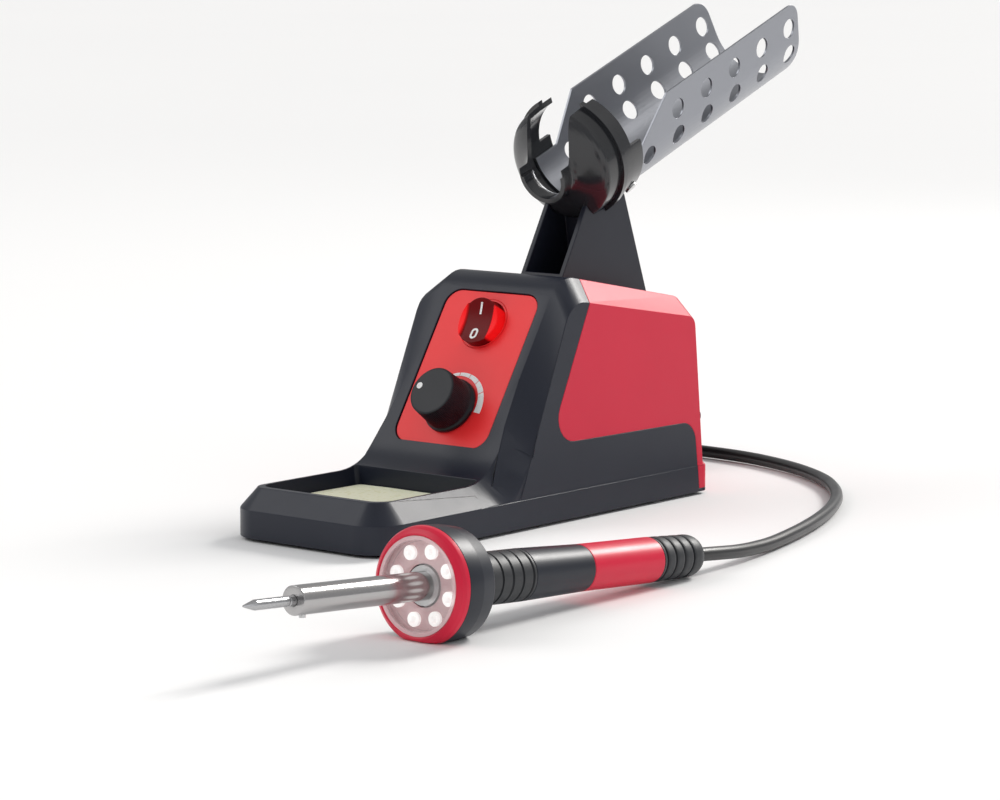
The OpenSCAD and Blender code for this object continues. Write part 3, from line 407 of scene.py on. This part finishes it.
# A CAD node's shape with its edges rounded: doubles merged, flat faces joined, then a bevel on each real edge
def rounded(name, node, material, width, flat=0.7, edge=32, segments=3):
    work = bmesh.new()
    work.from_mesh(frame["nodes"][node].data)
    bmesh.ops.remove_doubles(work, verts=work.verts, dist=2e-6)
    bmesh.ops.dissolve_limit(work, angle_limit=math.radians(flat), verts=work.verts, edges=work.edges)
    mesh = bpy.data.meshes.new(name)
    work.to_mesh(mesh)
    work.free()
    if "custom_normal" in mesh.attributes:
        mesh.attributes.remove(mesh.attributes["custom_normal"])
    piece = pieceOf(name, mesh, edge)
    bevel = piece.modifiers.new("edges", "BEVEL")
    bevel.width = width * mm
    bevel.segments = segments
    bevel.limit_method = "ANGLE"
    bevel.angle_limit = math.radians(max(edge, 30))
    bevel.use_clamp_overlap = False
    bevel.harden_normals = True
    weighted = piece.modifiers.new("normals", "WEIGHTED_NORMAL")
    weighted.keep_sharp = True
    standIn(piece, material, node)
    return piece


# Each shape's material, bevel width in mm and the least angle of a real edge
edges = {
    "front_housing": (blackCase, 0.25, 38), "rear_cover": (redCase, 0.3, 28),
    "control_panel": (redPanel, 0.3, 32),
    "holder_tower": (towerBlack, 0.3, 32), "trough": (sheetMetal, 0.12, 32),
}
for node, (material, width, edge) in edges.items():
    rounded(node + "_shape", node, material, width, edge=edge)
print("moulded shapes made")


# Knob, rocker and sponge

panelOut = np.array(joints["knob_turn"]["axis"])
panelOut /= np.linalg.norm(panelOut)
panelUp = np.array((0, panelOut[2], -panelOut[1]))
panelSide = np.array((1.0, 0, 0))


# From places on the panel (across, up, out, in mm) round a centre to the row's frame
def onPanel(centre, local):
    away = local[..., :1] * panelSide + local[..., 1:2] * panelUp + local[..., 2:] * panelOut
    return np.array(centre) + mm * away


# Rounds the corners of an outline: at each, the arc of its radius that touches both sides
def roundCorners(points, radii, steps=5):
    points = np.array(points, float)
    out = [points[:1]]
    for i in range(1, len(points) - 1):
        u = points[i - 1] - points[i]
        v = points[i + 1] - points[i]
        u /= np.linalg.norm(u)
        v /= np.linalg.norm(v)
        half = math.acos(np.clip(u @ v, -1, 1)) / 2
        middle = points[i] + (u + v) / np.linalg.norm(u + v) * radii[i] / math.sin(half)
        start = points[i] + u * radii[i] / math.tan(half) - middle
        end = points[i] + v * radii[i] / math.tan(half) - middle
        t = np.linspace(0, 1, steps + 1)[:, None]
        arc = start * (1 - t) + end * t
        arc *= radii[i] / np.maximum(np.linalg.norm(arc, axis=1, keepdims=True), 1e-9)
        out.append(middle + arc)
    return np.vstack(out + [points[-1:]])


# A turned shape: the profile (radius, height) carried round the axis
def turned(profile, sides):
    angle = np.linspace(0, 2 * np.pi, sides, endpoint=False)
    radius = profile[:, :1]
    height = np.broadcast_to(profile[:, 1:], (len(profile), sides))
    return np.stack([radius * np.cos(angle), radius * np.sin(angle), height], -1)


knob = {"cap": 10.2, "foot": 11.7, "flare": 10.9, "height": 14.5, "from": 0.4, "ridges": 84, "ridge": 0.17,
        "sides": 84 * 8, "hollow": 7.6, "hollowTop": 4.4}


# Knob: a turned profile whose flank is pushed in and out by a cosine of the angle, the fine knurl
def makeKnob():
    k = knob
    flank = [(k["hollow"], k["from"]), (k["foot"], k["from"]), (k["foot"], k["from"] + 1.5),
             (k["flare"], 2.6), (k["cap"], k["height"] - 0.2), (k["cap"] - 0.8, k["height"]),
             (0.001, k["height"])]
    profile = roundCorners(flank, [0, 0.3, 0.5, 0.5, 0.35, 0.3, 0])
    knurled = np.linspace(0, 1, 12)[1:-1, None]
    corner = np.argmax(profile[:, 1] > 3.2)
    filled = profile[corner - 1] * (1 - knurled) + profile[corner] * knurled
    hollow = [(0.001, k["hollowTop"]), (k["hollow"], k["hollowTop"])]
    profile = np.vstack([hollow, profile[:corner], filled, profile[corner:]])
    rings = turned(profile, k["sides"])
    height = profile[:, 1:2]
    body = np.clip((height - 2.7) / 0.5, 0, 1) * np.clip((k["height"] - 0.25 - height) / 0.4, 0, 1)
    body *= profile[:, :1] > k["hollow"] + 1
    angle = np.linspace(0, 2 * np.pi, k["sides"], endpoint=False)[None]
    wave = 1 + k["ridge"] / k["cap"] * body * (np.abs(np.cos(angle * k["ridges"] / 2)) - 1)
    rings[..., :2] *= wave[..., None]
    piece = ringSurface("knob_knurled", onPanel(joints["knob_turn"]["pos_m"], rings), sharp=50)
    standIn(piece, knobBlack, "temp_knob")


rocker = {"radius": 9.7, "top": 7.6, "from": 0.5, "saddle": 26, "drop": 1.5, "sideDrop": 0.9,
          "sideShare": 0.8, "reach": 6.6, "edge": 0.45, "tilt": 7, "sides": 128}


# Rocker: its top is a hollow cylinder across it, R - sqrt(R^2 - y^2), lower between x = -reach and reach
def rockerTop(x, y):
    r = rocker
    inner = r["top"] - r["drop"] + r["saddle"] - np.sqrt(r["saddle"] ** 2 - y ** 2)
    outerR = r["saddle"] * r["sideShare"]
    outer = r["top"] - r["sideDrop"] + outerR - np.sqrt(outerR ** 2 - y ** 2)
    t = np.clip((np.abs(x) - r["reach"]) / 0.7 + 0.5, 0, 1)
    t = t * t * (3 - 2 * t)
    return np.minimum(inner * (1 - t) + outer * t, r["top"] + 0.6)


def makeRocker():
    r = rocker
    angle = np.linspace(0, 2 * np.pi, r["sides"], endpoint=False)[None]
    inward = np.linspace(0, 1, 22)[:, None] ** 0.8
    bend = np.linspace(0, np.pi / 2, 6)[:, None]
    edge = r["edge"]
    rimRadius = r["radius"] - edge + edge * np.cos(bend)
    topRadius = (r["radius"] - edge) * (1 - inward[1:])
    radius = np.vstack([[[0.001]], [[r["radius"]]], rimRadius, topRadius + 0.001])
    x = radius * np.cos(angle)
    y = radius * np.sin(angle)
    z = rockerTop(x, y)
    z[0] = r["from"]
    z[1] = r["from"]
    z[2:8] += edge * (np.sin(bend) - 1)
    turnBy = math.radians(r["tilt"])
    up = y * math.cos(turnBy) - z * math.sin(turnBy)
    out = y * math.sin(turnBy) + z * math.cos(turnBy)
    local = np.stack([x, up, out], -1)
    pivot = joints["rocker_tilt"]["pos_m"]
    piece = ringSurface("rocker_cap", onPanel(pivot, local), sharp=50)
    standIn(piece, redWithPaintedGlow(pivot, r["reach"] * mm), "rocker")


sponge = {"corner": (4.4, 2.0), "edge": 0.9, "wave": 0.25, "perCorner": 8}


# Sponge: a rounded outline drawn in towards its middle, its top lowered by a sum of slow sines
def makeSponge():
    low, high = (np.array(corner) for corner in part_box("sponge"))
    half = (high - low)[:2] / 2
    middle = (high + low) / 2
    front, rear = (c * mm for c in sponge["corner"])
    quarter = np.linspace(0, np.pi / 2, sponge["perCorner"])
    corners = [(half[0] - rear, half[1] - rear, rear, 0), (-half[0] + rear, half[1] - rear, rear, 1),
               (-half[0] + front, -half[1] + front, front, 2), (half[0] - front, -half[1] + front, front, 3)]
    outline = []
    for x, y, r, k in corners:
        angle = quarter + k * np.pi / 2
        outline.append(np.stack([x + r * np.cos(angle), y + r * np.sin(angle)], -1))
    around = np.vstack(outline + [outline[0][:1]])
    gaps = np.linalg.norm(np.diff(around, axis=0), axis=1)
    place = np.concatenate([[0], np.cumsum(gaps)])
    even = np.linspace(0, place[-1], 160, endpoint=False)
    around = np.stack([np.interp(even, place, around[:, i]) for i in range(2)], -1)
    edge = sponge["edge"] * mm
    bend = np.linspace(0, np.pi / 2, 6)
    steps = [(1 - 0.98 * t, low[2]) for t in (1, 0.5)]
    steps += [(1 - edge / half[0] * (1 - math.sin(b)), low[2] + edge * (1 - math.cos(b))) for b in bend]
    steps += [(1, low[2] + (high[2] - low[2]) * t) for t in (0.3, 0.5, 0.7)]
    steps += [(1 - edge / half[0] * (1 - math.cos(b)), high[2] - edge * (1 - math.sin(b))) for b in bend]
    steps += [(s, high[2]) for s in np.linspace(0.95, 0.02, 24)]
    scale, level = (np.array(v) for v in zip(*steps))
    flat = scale[:, None, None] * around[None]
    dip = 0.5 + 0.25 * np.sin(flat[..., 0] * 190 + 1) + 0.25 * np.sin(flat[..., 1] * 150 + flat[..., 0] * 70)
    drop = sponge["wave"] * mm * dip * (level > middle[2])[:, None]
    rings = np.concatenate([flat + middle[:2], (level[:, None] - drop)[..., None]], -1)
    piece = ringSurface("sponge_block", rings, sharp=60)
    standIn(piece, spongeFoam(), "sponge")


makeKnob()
makeRocker()
makeSponge()
print("knob, rocker and sponge made")


# Iron

iron = {"fall": 4.079, "lensDepth": 3.6, "lens": 16.8, "eye": 7.2, "lampRing": 12.0, "lamps": 8,
        "lampTurn": 15, "head": 20.2, "seam": 3.8, "headLength": 17.6, "barrel": 4.9, "barrelFrom": -60,
        "tipFrom": -83.2, "tip": 1.75, "grip": 9.2, "gripEnd": 52.5, "mid": 8.4, "bandEnd": 86,
        "redEnd": 126.6, "bore": 6.7, "butt": 7.9, "end": 154, "sides": 128}
fall = math.radians(iron["fall"])
ironAxis = np.array((0, math.cos(fall), -math.sin(fall)))
ironUp = np.array((0, math.sin(fall), math.cos(fall)))
lensLow, lensHigh = (np.array(corner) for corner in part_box("lens_ring"))
ironMiddle = (lensLow + lensHigh) / 2 - ironAxis * iron["lensDepth"] * mm / 2


# From the iron's own places (across, up, along to the rear end, in mm) to the row's frame
def onIron(local):
    away = local[..., :1] * np.array((1.0, 0, 0)) + local[..., 1:2] * ironUp + local[..., 2:] * ironAxis
    spot = ironMiddle + mm * away
    spot[..., 2] = np.maximum(spot[..., 2], 0)  # the head is cut flat where it rests
    return spot


# A closed outline (radius, along) turned round the iron's axis
def ironRing(name, points, radii, material, node, *others, sharp=40):
    outline = np.vstack([points, points[:2]])
    profile = roundCorners(outline, [*radii, *radii[:2]])[1:-1]
    piece = ringSurface(name, onIron(turned(profile, iron["sides"])), looped=True, sharp=sharp)
    standIn(piece, material, node, *others)
    return piece


def makeHead():
    i = iron
    ring = [(i["lens"] + 0.05, 8), (i["lens"] + 0.05, 0.1), (i["lens"] + 0.7, -0.2), (i["head"] - 1.1, 0.9),
            (i["head"] - 0.3, 2.2), (i["head"], i["seam"]), (i["head"] - 1.6, i["seam"]),
            (i["head"] - 1.6, 8)]
    ironRing("head_ring_red", ring, [0.1, 0.25, 0.25, 0.9, 1.2, 0.12, 0.1, 0.1], ironRed, "head_ring")
    shell = [(i["head"] - 1.6, 8), (i["head"] - 1.6, i["seam"] + 0.05), (i["head"], i["seam"] + 0.05),
             (i["head"] - 0.2, 11), (i["head"] - 1.1, i["headLength"]),
             (i["head"] - 2.4, i["headLength"] + 1.3), (i["grip"] + 1.6, 23.6), (i["grip"], 24),
             (i["bore"], 24), (i["bore"], 21), (i["head"] - 4, i["headLength"] - 1.6), (i["head"] - 3, 9),
             (i["head"] - 3, 8)]
    radii = [0.05, 0.1, 0.25, 2, 1.0, 0.7, 0.5, 0.1, 0.1, 0.5, 0.5, 0.5, 0.1]
    ironRing("head_shell_black", shell, radii, ironBlack, "head_shell")


# Lens: a flat ring with a raised rim, a round dome over each lamp and a low rib between two lamps
def makeLens():
    i = iron
    angle = np.linspace(0, 2 * np.pi, 384, endpoint=False)[None]
    front = np.linspace(i["eye"], i["lens"], 60)
    radius = np.concatenate([front, [i["lens"]] * 3, front[::-3], [i["eye"]] * 3])[:, None]
    base = np.concatenate([np.zeros(60), [1.2, 2.4, 3.5], np.full(20, 3.55), [2.6, 1.6, 0.6]])[:, None]
    rim = np.clip((radius - (i["lens"] - 1.6)) / 0.3, 0, 1)
    lip = np.clip((i["eye"] + 0.9 - radius) / 0.3, 0, 1)
    x = radius * np.cos(angle)
    y = radius * np.sin(angle)
    turns = np.radians(i["lampTurn"] + np.arange(i["lamps"]) * 360 / i["lamps"])
    lampX = -i["lampRing"] * np.sin(turns)
    lampY = -i["lampRing"] * np.cos(turns)
    gap = np.sqrt((x[..., None] - lampX) ** 2 + (y[..., None] - lampY) ** 2).min(-1)
    dome = np.sqrt(np.clip(1 - (gap / 3.0) ** 2, 0, 1)) * 0.9 + 0.25 * ((gap > 3.0) & (gap < 3.4))
    between = np.abs((np.arctan2(-x, -y) - turns[0]) % (2 * np.pi / i["lamps"]) - np.pi / i["lamps"])
    rib = np.clip(1 - between * radius / 0.35, 0, 1) * 0.45
    relief = 0.85 - np.maximum(np.maximum(rim * 0.85, lip * 0.75), np.maximum(dome, rib))
    frontal = (np.arange(len(radius)) < 60)[:, None]
    along = base + frontal * relief
    local = np.stack([x, y, np.broadcast_to(along, x.shape)], -1)
    piece = ringSurface("lens_clear", onIron(local), looped=True, sharp=35)
    standIn(piece, clearLens(ironMiddle, (i["lens"] - 0.4) * mm), "lens_ring")


# A sleeve round the handle: its radius runs straight from one end to the other, less a round groove at each
# listed place, and its ends are rounded
def sleeve(name, start, end, radiusStart, radiusEnd, grooves, material, node, hole=iron["bore"], bulge=0.0,
           closing=None):
    along = np.linspace(start, end, int((end - start) / 0.12))
    radius = radiusStart + (radiusEnd - radiusStart) * (along - start) / (end - start)
    for groove in grooves:
        cut = np.clip(1 - ((along - groove) / 0.5) ** 2, 0, 1)
        radius = radius - 0.75 * np.sqrt(cut)
    if bulge:
        nearest = np.min(np.abs(along[:, None] - np.array(grooves)[None]), 1)
        radius = radius - bulge * np.exp(-(nearest / 0.9) ** 2)
    if closing:
        t = np.clip((along - closing) / (end - closing), 0, 1)
        radius = radius * np.sqrt(np.clip(1 - 0.62 * t ** 2.6, 0, 1))
    rounding = 0.35
    for distance in (along - start, end - along):
        share = 1 - np.minimum(distance / rounding, 1)
        radius = radius - rounding + rounding * np.sqrt(np.clip(1 - share ** 2, 0, 1))
    outer = np.stack([radius, along], -1)
    inner = np.array([(hole, end), (hole, (start + end) / 2), (hole, start)])
    piece = ringSurface(name, onIron(turned(np.vstack([outer, inner]), iron["sides"])), looped=True, sharp=50)
    standIn(piece, material, node)


def makeHandle():
    i = iron
    grooves = [28.7 + 5.5 * k for k in range(5)]
    sleeve("front_grip_rubber", 24, i["gripEnd"], i["grip"], i["grip"], grooves, gripRubber, "front_grip")
    sleeve("handle_band_black", i["gripEnd"], i["bandEnd"], i["grip"], i["mid"], [], ironBlack, "handle_band")
    sleeve("handle_sleeve_red", i["bandEnd"], i["redEnd"], i["mid"], i["mid"] - 0.1, [], ironRed,
           "handle_sleeve")
    grooves = [128.6, 134, 139.5, 145]
    sleeve("handle_end_rubber", i["redEnd"], i["end"], i["mid"] - 0.1, i["butt"] - 0.2, grooves,
           gripRubber, "handle_end", hole=2.65, bulge=0.3, closing=148)


def makeBarrel():
    i = iron
    start = i["barrelFrom"]
    barrel = [(i["tip"] + 0.1, 16), (i["tip"] + 0.1, start), (i["barrel"], start), (i["barrel"], 16)]
    ironRing("barrel_turned", barrel, [0.1, 0.15, 0.3, 0.1], barrelSteel, "barrel")
    tip = [(0.001, i["tipFrom"]), (0.3, i["tipFrom"]), (i["tip"], i["tipFrom"] + 5.2),
           (i["tip"], start - 3.2), (i["tip"] - 0.2, start - 3.0), (i["tip"] - 0.2, start - 2.6),
           (i["tip"], start - 2.4), (i["tip"], start + 20), (0.001, start + 20)]
    profile = roundCorners(tip, [0, 0.28, 0.5, 0.1, 0.1, 0.1, 0.1, 0.1, 0])
    piece = ringSurface("iron_tip_plated", onIron(turned(profile, 64)), sharp=50)
    standIn(piece, tipMetal, "iron_tip")


makeHead()
makeLens()
makeHandle()
makeBarrel()
print("iron made")


# Cord's material and its ends

cordPiece.data.materials.append(cordRubber)
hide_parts("iron_cord", "cord_coil", "cord_tail")
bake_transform(cordPiece)

relief = {"flange": 6.4, "root": 4.8, "tip": 3.5, "bore": 2.65, "length": 13, "neck": 4.0, "inside": 5.8,
          "ribs": 4, "lip": 5.4, "lipDepth": 1.6, "coneFrom": 2.4}


# Strain relief: a cone whose radius is cut by a row of round grooves, with a flange on the wall
def makeRelief(name, node):
    low, high = (np.array(corner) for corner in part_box(node))
    middle = (low + high) / 2
    start = high[1] / mm - relief["length"]
    along = np.linspace(relief["coneFrom"], relief["length"], 90)
    t = (along - relief["coneFrom"]) / (relief["length"] - relief["coneFrom"])
    groove = np.clip(np.cos(2 * np.pi * relief["ribs"] * (t + 0.02)) - 0.2, 0, 1) * (t > 0.12) * (t < 0.94)
    radius = relief["root"] + (relief["tip"] - relief["root"]) * t - 0.55 * groove
    inside = relief["inside"]
    lip = -inside + relief["lipDepth"]
    flange = [(relief["bore"], -inside), (relief["lip"], -inside), (relief["lip"], lip),
              (relief["neck"], lip), (relief["neck"], 0.5), (relief["flange"], 0.5),
              (relief["flange"] - 0.3, 2.1), (relief["root"], relief["coneFrom"])]
    outline = np.vstack([flange, np.stack([radius, along], -1), [(relief["bore"], relief["length"])]])
    rings = turned(outline, 64)
    across = middle[0] + mm * rings[..., 0]
    spot = np.stack([across, mm * (start + rings[..., 2]), middle[2] + mm * rings[..., 1]], -1)
    piece = ringSurface(name, spot, looped=True, sharp=35)
    standIn(piece, footRubber, node)


makeRelief("cord_relief_ribbed", "cord_relief")
makeRelief("mains_gland_ribbed", "mains_gland")
print("cord ends made")


# CAD nodes that stay, each with its own finish

kept = {
    blackCase: ["bottom_plate"], cradleBlack: ["cradle"], footRubber: ["feet"],
    screwSteel: ["plate_screws", "board_screws", "tower_screws", "trough_rivets", "switch_pin", "pot_nut",
                 "pot_shaft", "tip_screw", "barrel_collar", "pot_body"],
    printWhite: ["scale_marks", "rocker_marks", "knob_dot"], redPanel: ["switch_body"],
    lampWhite(): ["switch_lamp", "lamps"], greenBoard(): ["circuit_board"],
    partBlack: ["board_posts", "board_parts", "cord_clamp", "handle_core"],
    terminalGreen: ["terminal_block"], ceramic: ["heater_core"], reflectorPink(): ["lamp_board"],
}
for material, names in kept.items():
    for name in names:
        frame["nodes"][name].data.materials.clear()
        frame["nodes"][name].data.materials.append(material)
print("kept nodes finished")


# Floor and light

def makeFloor():
    reach = 60.0
    angle = np.linspace(0, 2 * np.pi, 64, endpoint=False)
    points = np.stack([reach * np.cos(angle), reach * np.sin(angle), np.full(64, -0.0003)], -1)
    floor = surface("floor", points, [list(range(64))])
    graph = Graph("pale floor")
    patch = graph.noise(0.7, 2)
    shade = graph.blend(patch, (0.93, 0.93, 0.935), (0.95, 0.95, 0.95))
    floor.data.materials.append(graph.done(Base_Color=shade, Roughness=0.75 + 0.1 * patch))


def aimed(name, light, spot, aim):
    made = bpy.data.objects.new(name, light)
    bpy.context.scene.collection.objects.link(made)
    made.location = spot
    made.rotation_euler = (Vector(aim) - Vector(spot)).to_track_quat("-Z", "Y").to_euler()


def softbox(name, spot, aim, size, power, color=(1, 1, 1)):
    light = bpy.data.lights.new(name, "AREA")
    light.shape = "RECTANGLE"
    light.size, light.size_y = size
    light.energy = power
    light.color = color
    aimed(name, light, spot, aim)


# A wide far light, which keeps the floor evenly white
def farLight(name, towards, width, power, color=(1, 1, 1)):
    light = bpy.data.lights.new(name, "SUN")
    light.angle = math.radians(width)
    light.energy = power
    light.color = color
    aimed(name, light, towards, (0, 0, 0))


def makeSky():
    world = bpy.data.worlds.new("soft sky")
    bpy.context.scene.world = world
    world.use_nodes = True
    tree = world.node_tree
    place = tree.nodes.new("ShaderNodeTexCoord")
    split = tree.nodes.new("ShaderNodeSeparateXYZ")
    ramp = tree.nodes.new("ShaderNodeValToRGB")
    tree.links.new(place.outputs["Generated"], split.inputs[0])
    tree.links.new(split.outputs["Z"], ramp.inputs[0])
    tree.links.new(ramp.outputs[0], tree.nodes["Background"].inputs[0])
    ramp.color_ramp.elements[0].position = 0.0
    ramp.color_ramp.elements[0].color = (0.85, 0.86, 0.88, 1)
    ramp.color_ramp.elements[1].position = 0.6
    ramp.color_ramp.elements[1].color = (1, 1, 1, 1)
    tree.nodes["Background"].inputs[1].default_value = 0.5


makeFloor()
makeSky()
farLight("key", (0.12, 0.79, 0.6), 18, 2.1, (1, 0.98, 0.95))
farLight("left", (-0.63, -0.44, 0.64), 35, 0.5)
softbox("rear strip", (0.2, 1.3, 0.7), (0.02, 0, 0.1), (1.2, 0.5), 3, (1, 0.97, 0.93))
softbox("front", (-0.5, -1.4, 1.0), (0, 0, 0.08), (0.9, 0.6), 2.5)
softbox("side", (1.6, -0.1, 0.7), (0, 0, 0.1), (0.4, 1.4), 2, (0.93, 0.96, 1))
bpy.context.scene.view_settings.view_transform = "Standard"
print("floor and lights made")

bpy.context.view_layer.update()
